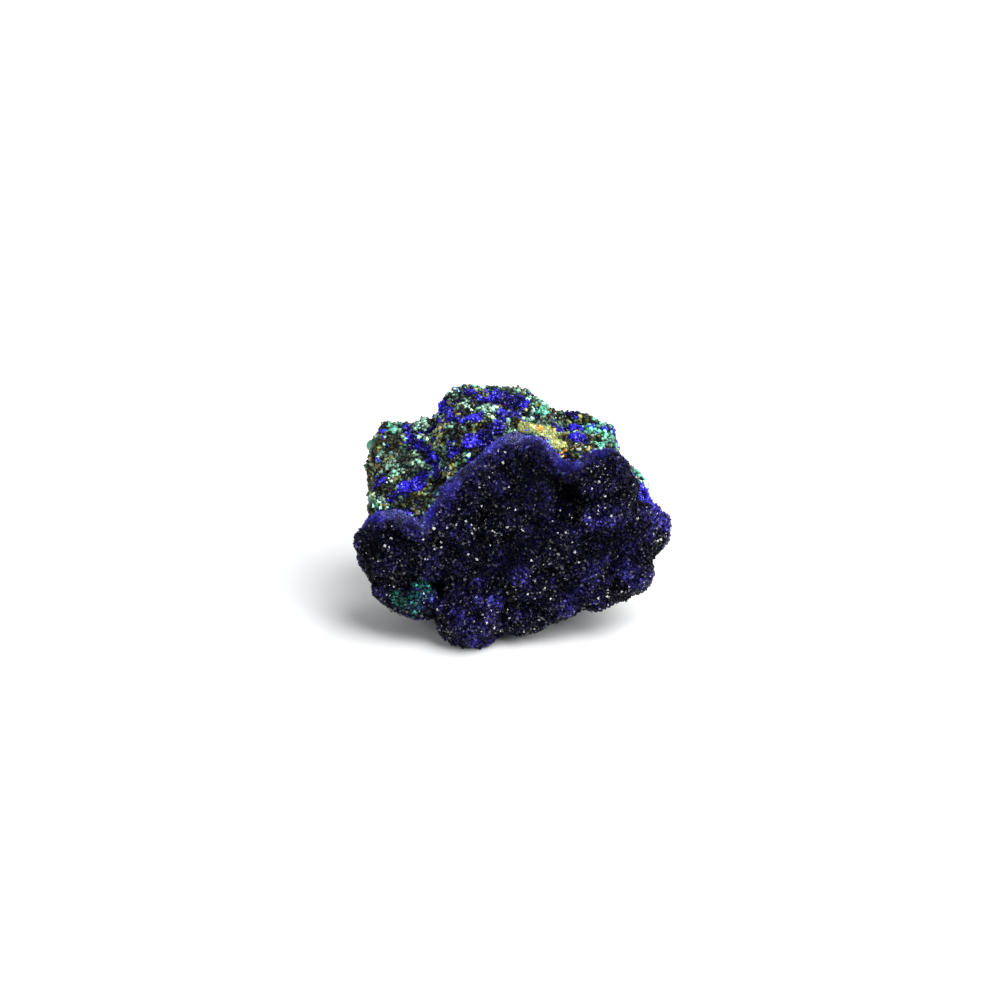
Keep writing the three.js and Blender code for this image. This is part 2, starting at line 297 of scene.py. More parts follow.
def seam_depth(points):
    """How near a seam's middle each place lies: 1 on it, 0 at half the width and negative outside, plus noise
    that frays it."""
    ways = [nearest_on(points, along(np.array(path), SEAM_COUNT))[0] / half for half, path in SEAMS]
    return 1 - np.min(ways, axis=0) + ragged(points, 1.2)


print("share of the skin in seams:", round(float((seam_depth(skin) > 0).mean()), 3))

# %% [markdown]
# Patches of malachite, ochre and olive rock lie between the seams. Each is a list of places with a radius,
# again in millimetres. Two more lists say where a lump of matrix shows through the crust on the right, and
# where a crevice runs into the top.

# %% Patches
OCHRE = [
    ((1.4, -1.4, 19.4), 0.8), ((2.3, -1.2, 19.2), 1.0), ((3.1, -1.4, 18.7), 1.1), ((3.6, -1.9, 18.0), 0.9),
    ((3.8, 0.6, 17.7), 1.0), ((4.4, -1.6, 17.7), 0.7), ((-0.7, -3.2, 19.2), 0.35), ((-11.9, -2.8, 12.8), 0.5),
]
ORANGE = [
    ((2.3, -1.1, 19.1), 0.45), ((3.6, 1.2, 17.7), 0.4), ((4.6, -2.9, 17.5), 0.5), ((5.1, -3.1, 17.5), 0.45),
    ((-2.9, -0.2, 20.5), 0.4), ((-10.8, -3.1, 14.0), 0.45),
]
SEA_GREEN = [
    ((-10.7, 3.1, 16.7), 0.9), ((-12.4, 4.1, 14.0), 1.0), ((6.8, 2.6, 16.9), 1.2), ((8.1, 2.6, 16.9), 1.4),
    ((8.7, 1.2, 16.6), 1.1), ((7.5, 0.2, 16.7), 0.9), ((11.1, 3.2, 12.3), 0.9), ((2.6, 1.6, 19.3), 0.5),
]
MINT = [
    ((-10.2, -0.6, 15.9), 1.5), ((-10.0, -1.9, 15.2), 1.4), ((-7.8, 0.9, 15.8), 0.8),
    ((-5.1, -3.3, 17.9), 0.6), ((-1.2, 4.4, 20.5), 2.0), ((-4.8, 3.2, 19.9), 1.3), ((1.0, 3.4, 20.2), 1.8),
    ((2.2, 2.6, 19.6), 1.2), ((-8.2, -5.2, 12.5), 0.5), ((-12.3, -2.2, 12.2), 0.6),
    ((-5.7, -4.0, 15.9), 0.6), ((11.2, 2.2, 12.4), 1.5),
]
OLIVE = [
    ((-6.4, -0.4, 18.4), 1.7), ((-8.1, -4.2, 13.7), 1.5), ((4.2, 3.8, 17.7), 1.7), ((-5.9, 3.0, 19.4), 0.6),
    ((-4.4, -1.9, 19.5), 0.8), ((4.3, -2.2, 17.6), 0.9),
]
RIGHT_LUMP = [((11.3, 1.8, 12.3), 1.7), ((11.5, 0.3, 11.8), 1.3), ((11.0, -0.7, 12.2), 0.8)]
CREVICE = [((-6.2, -2.3, 17.5), 0.9)]
print("patches:", sum(len(patches) for patches in (OCHRE, ORANGE, SEA_GREEN, MINT, OLIVE)))

# %% [markdown]
# Near its middle a seam is nearly pure, and towards its edge grains of other minerals mix in, so a grain's
# kind is a matter of chance with odds that depend on its place. Away from seams and patches, noise mottles
# the rock: pale mint malachite, olive, brown and dark rock. On the back, thin blue layers come up here and
# there. The colours are shares of red, green and blue light.

# %% The kind of mineral at a place
LAYER_STEP, LAYERS_START = 3.1, 2.5
COLOURS = {
    "azurite": (0.032, 0.020, 0.660), "mint": (0.290, 0.590, 0.430), "sea green": (0.110, 0.480, 0.320),
    "olive": (0.260, 0.260, 0.090), "brown": (0.190, 0.120, 0.070), "dark": (0.018, 0.018, 0.016),
    "ochre": (0.400, 0.440, 0.140), "orange": (0.650, 0.360, 0.080), "pale": (0.500, 0.720, 0.560),
}


def mineral_colours(points, seed):
    """A colour for each place. One kind after another may take a place over: where a random number is below
    its odds, which rise to the middles of its patches or seams."""
    luck = np.random.default_rng(seed).random((len(COLOURS), len(points)))
    frayed = ragged(points, 1.5)
    mottle = 0.5 * cloud(points, 2.2, 25) + 0.5 * cloud(points, 0.9, 26)
    green = np.maximum(fade(mottle, -0.2, 0.4), fade(inside(points, MINT) + frayed, -0.2, 0.5))
    green = green * (1 - 0.7 * fade(inside(points, OLIVE) + frayed, -0.2, 0.4))
    rim_way = past_rim(points)
    by_crest = 0.7 * fade(0.7 * frayed - rim_way, -1.0, 0.1) * (points[:, 1] < 0)
    layer = np.abs(((rim_way + 1.2 * cloud(points, 4.0, 23)) / LAYER_STEP) % 1 - 0.5)
    veil = 0.95 * fade(-layer, -0.11, -0.05) * (points[:, 1] > LAYERS_START)
    veil = veil * fade(cloud(points, 3.0, 24), -0.1, 0.2)
    odds = {
        "dark": np.ones(len(points)),
        "olive": 0.15 + 0.75 * fade(cloud(points, 1.6, 29), -0.3, 0.3),
        "brown": 0.03 + 0.4 * fade(cloud(points, 1.9, 30), 0.25, 0.6),
        "mint": 0.12 + 0.75 * green,
        "pale": 0.05 + 0.2 * green**2,
        "sea green": 0.92 * fade(inside(points, SEA_GREEN) + 0.6 * frayed, -0.2, 0.4),
        "ochre": 0.02 + 0.9 * fade(inside(points, OCHRE) + 0.7 * frayed, -0.05, 0.25),
        "orange": 0.006 + 0.9 * fade(inside(points, ORANGE) + 0.3 * frayed, 0.0, 0.3),
        "azurite": np.max([0.96 * fade(seam_depth(points), -0.1, 0.25), veil, by_crest], axis=0) + 0.03,
    }
    colours = np.zeros(points.shape)
    for chance_here, (kind, odd) in zip(luck, odds.items()):
        colours[chance_here < odd] = COLOURS[kind]
    return colours


print("minerals:", ", ".join(COLOURS))

# %% [markdown]
# ## Crust or matrix
# The crust lies below the rim and in front of a wavy line on the sides, which is farther back on the right.
# There a lump of matrix shows through it.

# %% The share of crust
CRUST_END_X, CRUST_END_Y = [-14, 8, 12], [-0.4, -0.4, 1.4]


def crust_share(points):
    """1 on the crust, 0 on the matrix: below the rim, in front of a wavy line on the sides, off the lump."""
    end = np.interp(points[:, 0], CRUST_END_X, CRUST_END_Y) + 0.8 * cloud(points, 2.5, 3)
    wave = 0.25 * cloud(points, 0.9, 4)
    below = 1 - fade(past_rim(points) + wave, -0.1, 0.1)
    front = 1 - fade(points[:, 1] - end, -0.3, 0.3)
    return below * front * (inside(points, RIGHT_LUMP) + wave < 0)


crust = crust_share(skin)
print("share of the skin under crust:", round(float(crust.mean()), 2))

# %% [markdown]
# ## Relief of the skin
# The matrix is broken into ledges along its layers and made of crumbs with gaps between them, in three sizes.
# It is smoother where ochre coats it, and seams stand out a little. A bump in the material would look much
# the same from the front, but the outline would stay smooth, so the points themselves move.

# %% Relief of the matrix
LEDGE_STEP, LEDGE_HEIGHT, EXTRA_AT_BACK = 1.9, 0.4, 0.4
CRUMB_HEIGHT, FINE_CRUMB_HEIGHT = 0.75, 0.16
SEAM_HEIGHT, CREVICE_DEPTH = 0.12, 0.5
gaps = 0.5 * crumbs(skin, 1.7, 6) + 0.5 * crumbs(skin, 0.8, 7)
coated = fade(inside(skin, OCHRE) + 0.7 * ragged(skin, 1.5), 0.0, 0.3)
seam = fade(seam_depth(skin), 0.0, 0.5)
ledge = (rim_gap / LEDGE_STEP + 0.6 * cloud(skin, 3.5, 28)) % 1
matrix_relief = CRUMB_HEIGHT * (0.42 - gaps) + FINE_CRUMB_HEIGHT * (0.45 - crumbs(skin, 0.4, 8))
matrix_relief += (LEDGE_HEIGHT + EXTRA_AT_BACK * fade(skin[:, 1], 1, 5)) * (ledge - 0.5)
crevice = CREVICE_DEPTH * fade(inside(skin, CREVICE), 0, 0.7)
matrix_relief = matrix_relief * (1 - 0.5 * coated) + SEAM_HEIGHT * seam - crevice
print("relief of the matrix:", np.round([matrix_relief.min(), matrix_relief.max()], 2), "mm")

# %% [markdown]
# The crust is a pavement of knobs in two sizes with a little grit, and its rim is a low roll just below the
# crest.

# %% Relief of the crust
KNOB_SIZE, KNOB_HEIGHT, SMALL_KNOB_HEIGHT = 2.1, 0.45, 0.16
GRIT_HEIGHT, CRUST_HEIGHT = 0.06, 0.15
ROLL_HEIGHT, ROLL_WIDTH, ROLL_BELOW_CREST = 0.3, 0.55, 0.35
knobs = crumbs(skin + 0.5 * cloud(skin, 1.2, 11)[:, None], KNOB_SIZE, 12)
crust_relief = KNOB_HEIGHT * (0.55 - knobs) + SMALL_KNOB_HEIGHT * (0.45 - crumbs(skin, 0.7, 9))
crust_relief = crust_relief + GRIT_HEIGHT * cloud(skin, 0.3, 10) + CRUST_HEIGHT
roll = ROLL_HEIGHT * np.exp(-(((rim_gap + ROLL_BELOW_CREST) / ROLL_WIDTH) ** 2)) * (skin[:, 1] < 0)
roll = roll * (0.4 + 0.8 * cloud(skin, 1.1, 13))
print("relief of the crust:", np.round([crust_relief.min(), crust_relief.max()], 2), "mm")

# %% [markdown]
# The skin now moves along its normals. At the front, the back and the top it first sinks a little, because
# crystals and grains will stand on it there, and their tips should reach as far as the solid does. Nothing
# may go below the floor.

# %% Raising the skin
END_SINK, TOP_SINK = 0.35, 0.15
normals = normals_of(skin, faces)
sunk_ends = END_SINK * fade(np.abs(skin[:, 1]), 5.5, 8.0) + TOP_SINK * fade(skin[:, 2], 19.0, 20.5)
lift = np.where(crust > 0.5, crust_relief, matrix_relief) + roll - sunk_ends
skin = skin + lift[:, None] * normals
skin[:, 2] = np.maximum(skin[:, 2], 0)
normals = normals_of(skin, faces)
print("relief from", round(float(lift.min()), 2), "to", round(float(lift.max()), 2), "mm")

# %% [markdown]
# ## Building a piece from arrays
# Every piece below is one mesh, made in one go from an array of points and an array of triangles, with a
# colour for each point. It sits at the origin, so its place is in its points.


# %% The mesh builder
def piece(name, points, faces, colours, smooth):
    """A mesh object in metres from points in mm, with its colours in the attribute named tint."""
    mesh = bpy.data.meshes.new(name)
    mesh.vertices.add(len(points))
    mesh.vertices.foreach_set("co", (points * MM).ravel())
    mesh.loops.add(faces.size)
    mesh.loops.foreach_set("vertex_index", faces.astype(np.int32).ravel())
    mesh.polygons.add(len(faces))
    mesh.polygons.foreach_set("loop_start", np.arange(0, faces.size, 3, dtype=np.int32))
    mesh.update(calc_edges=True)
    if smooth:
        mesh.shade_smooth()
    else:
        mesh.shade_flat()
    tint = mesh.attributes.new("tint", "FLOAT_COLOR", "POINT")
    opaque = np.column_stack([colours, np.ones(len(points))])
    tint.data.foreach_set("color", opaque.astype(np.float32).ravel())
    thing = bpy.data.objects.new(name, mesh)
    bpy.context.scene.collection.objects.link(thing)
    print(name, "has", len(faces), "triangles")
    return thing


# %% [markdown]
# ## The rock
# The skin itself shows in the gaps between crystals and grains, so it takes their colours, darkened by
# painted shade, and most of all where the gaps between its own crumbs are deep. The ochre coat keeps its full
# colour.

# %% The rock's skin
# Painted shade: the skin's colours under the crystals and under the rim's spikes, darker than both.
PAINTED_SHADE_UNDER_CRYSTALS = np.array([0.0012, 0.0010, 0.0045])
PAINTED_SHADE_UNDER_SPIKES = np.array([0.0150, 0.0120, 0.0900])
RIM_WIDTHS = [0.8, 0.9, 1.4, 1.2, 1.1, 1.0, 1.0, 1.2, 1.5, 1.3, 1.0, 1.0, 1.0, 0.8, 0.6, 0.4]
coat = coated * (0.8 + 0.6 * cloud(skin, 0.6, 14))
# Painted shade: the skin is dark, darkest in the gaps between its crumbs; the ochre coat keeps its own
# colour.
shade = np.maximum(0.16 - 0.14 * fade(gaps, 0.25, 0.5), coat)
rim_band = fade(rim_gap / beside_rim(skin, RIM_WIDTHS), -1.1, -0.6)[:, None]
crust_skin = (1 - rim_band) * PAINTED_SHADE_UNDER_CRYSTALS + rim_band * PAINTED_SHADE_UNDER_SPIKES
rock_tint = np.where(crust[:, None] > 0.5, crust_skin, mineral_colours(skin, 31) * shade[:, None])
rock = piece("rock", skin, faces, rock_tint, smooth=True)

# %% [markdown]
# ## Where crystals and grains stand
# Many places are picked at random on the skin, more on larger triangles. Space is then divided into small
# cubes, and only one place in each cube is kept, so that neighbours don't crowd.

# %% Scattering places
TRIES_PER_CUBE = 6


def areas_of(triangles):
    """Half the length of the cross product of two edges."""
    a, b, c = skin[triangles].transpose(1, 0, 2)
    return np.linalg.norm(np.cross(b - a, c - a), axis=1) / 2


def scatter(keep, spacing, rng):
    """Places on the skin, about one for each cube with that edge, and a skin point beside each of them."""
    chosen = faces[keep]
    a, b, c = skin[chosen].transpose(1, 0, 2)
    area = areas_of(chosen)
    pick = rng.choice(len(chosen), int(TRIES_PER_CUBE * area.sum() / spacing**2), p=area / area.sum())
    u, v = np.sort(rng.random((2, len(pick))), axis=0)[:, :, None]
    spots = u * a[pick] + (v - u) * b[pick] + (1 - v) * c[pick]
    _, first = np.unique(np.floor(spots / spacing), axis=0, return_index=True)
    return spots[first], chosen[pick[first], 0]


print("area of the skin:", round(float(areas_of(faces).sum())), "mm2")

# %% [markdown]
# ## Crystal shapes
# Azurite grows as small blocky prisms with a slanted roof. A crystal is given by its corners alone, and its
# faces are found by trying every three corners: they are a face if all others lie behind it.

# %% Faces of a crystal
BLOCK = np.array([
    (0.02, -0.03, -0.8), (-0.50, -0.44, 0.30), (0.48, -0.47, 0.42), (0.45, 0.44, 0.34), (-0.47, 0.46, 0.44),
    (-0.28, 0.03, 0.98), (0.25, -0.06, 1.0),
])


def hull(corners):
    """Triangles of a convex shape, facing outwards, from corners of which no four share a plane."""
    count = len(corners)
    threes = np.ndindex(count, count, count)
    i, j, k = np.array([three for three in threes if three[0] < min(three[1:]) and three[1] != three[2]]).T
    normal = np.cross(corners[j] - corners[i], corners[k] - corners[i])
    height = np.einsum("tc,tnc->tn", normal, corners[None] - corners[i][:, None])
    outside = (height < TINY).all(1)
    return np.stack([i, j, k], 1)[outside]


block = BLOCK, hull(BLOCK)
print("a crystal has", len(BLOCK), "corners and", len(block[1]), "triangles")

# %% [markdown]
# Copies of a shape are turned, stretched and set in place by array arithmetic, all at once. Separate objects
# would do too, but tens of thousands of them are slow. Lower corners are darker than tips, because little
# light reaches down between the crystals.

# %% Copies of a shape
STRETCH = (0.75, 1.25)
FOOT_SHADE, STEEP = 0.1, 0.8


def copies(corners, spots, axes, sizes, spin):
    """Copies of corners: stretched by the sizes, turned about Z by the spin, tipped until Z lies along the
    axes, and moved to the spots."""
    helper = np.where(np.abs(axes[:, 2:]) < STEEP, [[0.0, 0.0, 1.0]], [[1.0, 0.0, 0.0]])
    side = np.cross(helper, axes)
    side /= np.linalg.norm(side, axis=1, keepdims=True)
    x = np.cos(spin)[:, None] * side + np.sin(spin)[:, None] * np.cross(axes, side)
    turn = np.stack([x, np.cross(axes, x), axes], 1)
    return spots[:, None] + np.einsum("nkj,nji->nki", corners * sizes[:, None], turn)


def grown(name, shape, keep, spacing, size, lean, tint_of, seed, rough=0.0, smooth=False):
    """One piece of many copies of a shape, scattered over the triangles to keep. Sizes run evenly between
    two bounds, axes lean from the skin's normals by a random sideways amount, corners move by the
    roughness, and the colours come from a function of the places and of the skin points beside them, with
    painted shade on each copy's lower corners."""
    rng = np.random.default_rng(seed)
    corners, triangles = shape
    spots, beside = scatter(keep, spacing, rng)
    axes = normals[beside] + lean * rng.normal(size=spots.shape)
    axes /= np.linalg.norm(axes, axis=1, keepdims=True)
    sizes = rng.uniform(*size, (len(spots), 1)) * rng.uniform(*STRETCH, (len(spots), 3))
    points = copies(corners, spots, axes, sizes, rng.uniform(0, 2 * np.pi, len(spots)))
    points += rough * rng.normal(size=points.shape)
    points[:, :, 2] = np.maximum(points[:, :, 2], 0)
    # Painted shade: a copy's lower corners are darker than its tip.
    painted_foot_darkening = FOOT_SHADE + (1 - FOOT_SHADE) * fade(corners[:, 2], -0.6, 0.6)
    colours = tint_of(spots, beside, rng)[:, None] * painted_foot_darkening[None, :, None]
    numbers = triangles + len(corners) * np.arange(len(spots))[:, None, None]
    return piece(name, points.reshape(-1, 3), numbers.reshape(-1, 3), colours.reshape(-1, 3), smooth)


# %% [markdown]
# ## The crystal crust
# Thousands of crystals pave the crust, each leaning its own way. Where they are finer and thinner, on some
# lobes and along the rim, light gets through them and the crust turns violet blue. A copper-green stain sits
# low on the left. These places are lists with a radius each, as those on the matrix are.

# %% Where the crust is bluer or green
BLUE_PATCHES = [
    ((-6.4, -6.2, 4.3), 1.1), ((-2.9, -6.6, 6.5), 0.6), ((-1.3, -6.8, 4.8), 1.1), ((-4.6, -8.1, 4.2), 0.9),
    ((-2.2, -7.9, 3.6), 0.8), ((-4.1, -8.0, 1.8), 2.8), ((-13.6, -3.7, 8.1), 1.3), ((7.8, -5.1, 11.6), 2.1),
    ((7.5, -4.9, 9.4), 0.7), ((12.8, -1.6, 10.2), 2.6), ((7.8, -5.1, 6.6), 1.6), ((0.4, -6.9, 7.2), 1.0),
    ((6.8, -5.4, 5.1), 1.2), ((5.0, -6.0, 3.8), 1.0), ((10.7, -5.0, 6.6), 1.8), ((-11.8, -5.6, 4.8), 0.9),
]
LIGHT_LOBES = [((12.8, -1.4, 10.6), 1.6), ((13.3, -1.6, 9.8), 1.2), ((10.8, -1.6, 12.6), 0.8)]
GREEN_STAIN = [
    ((-10.1, -6.1, 4.8), 0.8), ((-9.0, -6.4, 4.5), 1.2), ((-8.0, -5.8, 5.4), 1.3), ((-8.6, -6.6, 3.7), 1.0),
]
print("bluer patches:", len(BLUE_PATCHES + LIGHT_LOBES), "and places in the stain:", len(GREEN_STAIN))

# %% [markdown]
# A crystal's colour follows from the place where it stands, with some luck of its own. One mesh for the whole
# crust would have too many triangles, so there is a left and a right piece.

# %% Azurite crystals
ABOVE_FLOOR, BELOW_CREST, MIDDLE = 0.2, -0.8, -1.5
DARK_BLUE = np.array([0.0016, 0.0014, 0.0085])
VIOLET_BLUE = np.array([0.0320, 0.0250, 0.1900])
GREEN = np.array([0.0150, 0.1800, 0.1000])


def crust_tint(spots, beside, rng):
    """Near black indigo plus a share of violet blue, which is larger in the patches and by the rim, and
    larger where the crust bulges as painted light, plus a green share that rises to the stain's middle, all
    darkened by painted shade between knobs and in the hollows."""
    luck = rng.random((2, len(spots), 1))
    frayed = ragged(spots, 1.3)
    rim = 0.9 * fade(past_rim(spots) / beside_rim(spots, RIM_WIDTHS) + 0.3 * frayed, -1.8, -0.8)
    patch = 1.1 * fade(inside(spots, BLUE_PATCHES) + 0.9 * frayed, -0.3, 0.9)
    lobe = 2.2 * fade(inside(spots, LIGHT_LOBES) + 0.5 * frayed, -0.1, 0.6)
    # Painted light: bluer where the crust bulges; painted shade: less blue in the hollows.
    painted_light_on_bulges = 0.05 + 0.5 * fade(bulge[beside] + 0.12 * frayed, 0.0, 0.28)
    painted_shade_in_hollows = fade(-bulge[beside], 0.04, 0.26)
    blue = np.max([rim, patch, lobe, painted_light_on_bulges], axis=0) * (1 - 0.6 * painted_shade_in_hollows)
    green = fade(inside(spots, GREEN_STAIN) + 0.5 * frayed, -0.1, 0.7)
    tint = DARK_BLUE + blue[:, None] * luck[0] * VIOLET_BLUE + (green[:, None] * luck[1]) ** 2 * GREEN
    # Painted shade: darker between knobs and in the hollows.
    tint = tint * (1 - 0.8 * np.maximum(fade(knobs[beside], 0.45, 0.8), painted_shade_in_hollows))[:, None]
    return tint * np.exp(rng.normal(0, 0.7, (len(spots), 1)))


above_floor = (skin[faces][:, :, 2] > ABOVE_FLOOR).all(1)
below_rim = above_floor & (crust[faces] > 0.5).all(1) & (rim_gap[faces] < BELOW_CREST).all(1)
left_side = skin[faces][:, :, 0].mean(1) < MIDDLE
pavement = {"spacing": 0.21, "size": (0.14, 0.30), "lean": 0.45, "tint_of": crust_tint}
crystals_left = grown("crust_crystals_left", block, below_rim & left_side, seed=51, **pavement)
crystals_right = grown("crust_crystals_right", block, below_rim & ~left_side, seed=52, **pavement)

# %% [markdown]
# Most crystals are dulled by dust and fine etching. Some have clean faces, and those are the ones that
# sparkle. They stand in loose clusters, and are a piece of their own, because they get a glossier finish.

# %% Clean crystals
clustered = below_rim & (cloud(skin[faces].mean(1), 2.6, 55) > -0.3) & (bulge[faces] > -0.14).all(1)
clean_crystals = grown(
    "clean_crystals", block, clustered, spacing=0.36, size=(0.16, 0.30), lean=0.5, tint_of=crust_tint, seed=53
)

# %% [markdown]
# ## The velvet rim
# Along the crest the crystals are too fine to see one by one. Small spikes stand there close together and
# scatter the light as velvet does. In some stretches they are bright ultramarine, in others dusty violet. The
# band ends in a ragged line a little past the crest.

# %% Rim spikes
BAND_BELOW, BAND_ABOVE, BAND_BACK = -1.6, 0.12, 0.5
SPIKE = np.array([(-0.5, -0.3, -0.4), (0.5, -0.33, -0.42), (0.02, 0.6, -0.38), (0.05, 0.02, 0.9)])
ULTRAMARINE = np.array([0.0560, 0.0400, 0.7000])
DUSTY_VIOLET = np.array([0.2100, 0.2200, 0.4600])
RIM_DUST = [0.1, 0.3, 0.9, 0.6, 0.1, 0.3, 0.5, 0.2, 0.6, 0.5, 0.3, 0.3, 0.3, 0.4, 0.2, 0.1]


def velvet_tint(spots, beside, rng):
    """From ultramarine to dusty violet by stretches of the rim and by noise, broken into patches, fading out
    below the band, with a few spikes painted twice as light as highlights."""
    dust = np.clip(beside_rim(spots, RIM_DUST) + 0.5 * cloud(spots, 1.0, 63), 0, 1)[:, None]
    depth = past_rim(spots) / beside_rim(spots, RIM_WIDTHS) + 0.5 * ragged(spots, 1.1)
    patchy = 0.55 + 0.55 * fade(cloud(spots, 0.7, 64) + 0.5 * dust[:, 0], -0.4, 0.5)
    tint = (1 - dust) * ULTRAMARINE + dust * DUSTY_VIOLET
    # Painted highlights: a tenth of the spikes are twice as light.
    tint = tint * (1 + (rng.random((len(spots), 1)) < 0.1))
    tint = tint * (0.03 + 0.97 * fade(depth, -1.3, -0.3) * patchy)[:, None]
    return tint * np.exp(rng.normal(0, 0.45, (len(spots), 1)))


crest_end = BAND_ABOVE + 0.5 * ragged(skin, 0.9)
in_band = (rim_gap > BAND_BELOW) & (rim_gap < crest_end)
by_rim = in_band[faces].all(1) & (skin[faces][:, :, 1] < BAND_BACK).all(1)
spike = SPIKE, hull(SPIKE)
velvet = grown(
    "rim_velvet", spike, by_rim, spacing=0.1, size=(0.10, 0.20), lean=0.45, tint_of=velvet_tint, seed=61
)

# %% [markdown]
# ## The crumbly matrix
# Grains cover the matrix on top, at the sides, at the back and underneath. A grain is a block with its
# corners pushed about, so that no two look alike, and it is shaded smoothly, which makes it look worn. Fine
# crumbs fill in between the coarse ones.

# %% Matrix grains
SKEW = 0.13
CUBE = np.array([(x, y, z) for x in (-0.62, 0.6) for y in (-0.6, 0.63) for z in (-0.58, 0.61)])
CUBE = CUBE * (1 + SKEW * np.sin(7 * CUBE[:, [1, 2, 0]] + 3 * CUBE))
CHIP = np.array([
    (0.9, 0.1, 0.1), (-0.85, -0.1, 0.2), (0.1, 0.9, -0.1), (-0.1, -0.95, 0), (0, 0.1, 0.9), (0.1, 0, -0.8),
])


def matrix_tint(spots, beside, rng):
    """The colour of the mineral at each place, with painted light on grains away from the skin's gaps and
    painted shade on those in them, lighter or darker by chance, and a little off in hue."""
    tint = mineral_colours(spots, int(rng.integers(999)))
    # Painted light and shade: lighter away from the skin's gaps, darker in them, except under the ochre coat.
    tint = tint * (1.5 - 1.35 * fade(gaps[beside], 0.3, 0.62) * (1 - coated[beside]))[:, None]
    return tint * np.exp(rng.normal(0, 0.5, (len(spots), 1))) * rng.uniform(0.85, 1.15, (len(spots), 3))


on_matrix = above_floor & (crust[faces] < 0.5).all(1)
bare = on_matrix & (coated[faces] < 0.5).all(1) & (seam[faces] < 0.7).all(1)
worn = {"lean": 0.7, "tint_of": matrix_tint, "smooth": True}
coarse, crumb = (CUBE, hull(CUBE)), (CHIP, hull(CHIP))
grains = grown(
    "matrix_grains", coarse, bare, spacing=0.42, size=(0.13, 0.27), seed=71, rough=0.045, **worn
)
fine_grains = grown(
    "matrix_crumbs", crumb, on_matrix, spacing=0.25, size=(0.08, 0.16), seed=72, rough=0.02, **worn
)

# %% [markdown]
# ## Azurite in the seams
# The seams' crystals are the same prisms as on the crust, but small, clear and bright, so they are a piece of
# their own with some gloss.

# %% Seam crystals
AZURITE = np.array(COLOURS["azurite"])
PAINTED_AZURITE_HIGHLIGHT = np.array([0.30, 0.32, 0.90])


def seam_tint(spots, beside, rng):
    """Ultramarine, here and there lighter as a painted highlight, and darker where the skin has gaps as
    painted shade.
    """
    # Painted highlights on some crystals, and painted shade where the skin has gaps.
    light = 0.4 * (rng.random((len(spots), 1)) < 0.18)
    tint = (1 - light) * AZURITE + light * PAINTED_AZURITE_HIGHLIGHT
    tint = tint * (1.5 - 1.3 * fade(gaps[beside], 0.3, 0.62))[:, None]
    return tint * np.exp(rng.normal(0, 0.7, (len(spots), 1)))


in_seam = on_matrix & (seam[faces] > 0.25).all(1)
seam_crystals = grown(
    "seam_crystals", block, in_seam, spacing=0.2, size=(0.11, 0.21), lean=0.5, tint_of=seam_tint, seed=74
)

# %% [markdown]
# ## Malachite beads
# In a few places malachite forms smooth little beads that grow together like grapes. A bead is a regular
# solid of twenty triangles, each cut into four, with its points pushed out to a sphere. Shaded smoothly, that
# is round enough for its size.

# %% Beads
BEAD_GREEN = np.array([0.110, 0.430, 0.290])
GOLDEN_RATIO = (1 + 5**0.5) / 2
BALL = np.array([
    np.roll((0, i, j * GOLDEN_RATIO), k) for k in range(3) for i in (-1, 1) for j in (-1, 1)
])
BALL = BALL / np.linalg.norm(BALL, axis=1, keepdims=True)
ball_points, ball_faces = split(BALL, hull(BALL))
ball_points = ball_points / np.linalg.norm(ball_points, axis=1, keepdims=True)


def bead_tint(spots, beside, rng):
    """Sea green, from pale to deep by chance."""
    return BEAD_GREEN * np.exp(rng.normal(0, 0.6, (len(spots), 1)))


ball = ball_points, ball_faces
bead_depth = inside(skin, SEA_GREEN)[faces].min(1)
on_left = on_matrix & (skin[faces][:, :, 0] < 0).all(1)
green_spots = on_matrix & (bead_depth > 0.25)
left_spots = on_left & (bead_depth > 0.4)
round_look = {"lean": 0.3, "tint_of": bead_tint, "smooth": True}
beads = grown("malachite_beads", ball, green_spots, spacing=0.45, size=(0.11, 0.25), seed=81, **round_look)
large_beads = grown("large_beads", ball, left_spots, spacing=0.8, size=(0.35, 0.55), seed=82, **round_look)

# %% [markdown]
# ## Surfaces
# All materials take their colour from the points and mottle it a little with noise in the rock's own
# coordinates. What they share is a node group, so it is made once. They differ in how they shine: clean
# crystal faces are glossy, velvet and grains are duller, and rock is dull.

# %% The shared mottling
NOISE_DETAIL = 4
NOISE_RANGE, SHADE_RANGE = (0.3, 0.7), (0.55, 1.4)


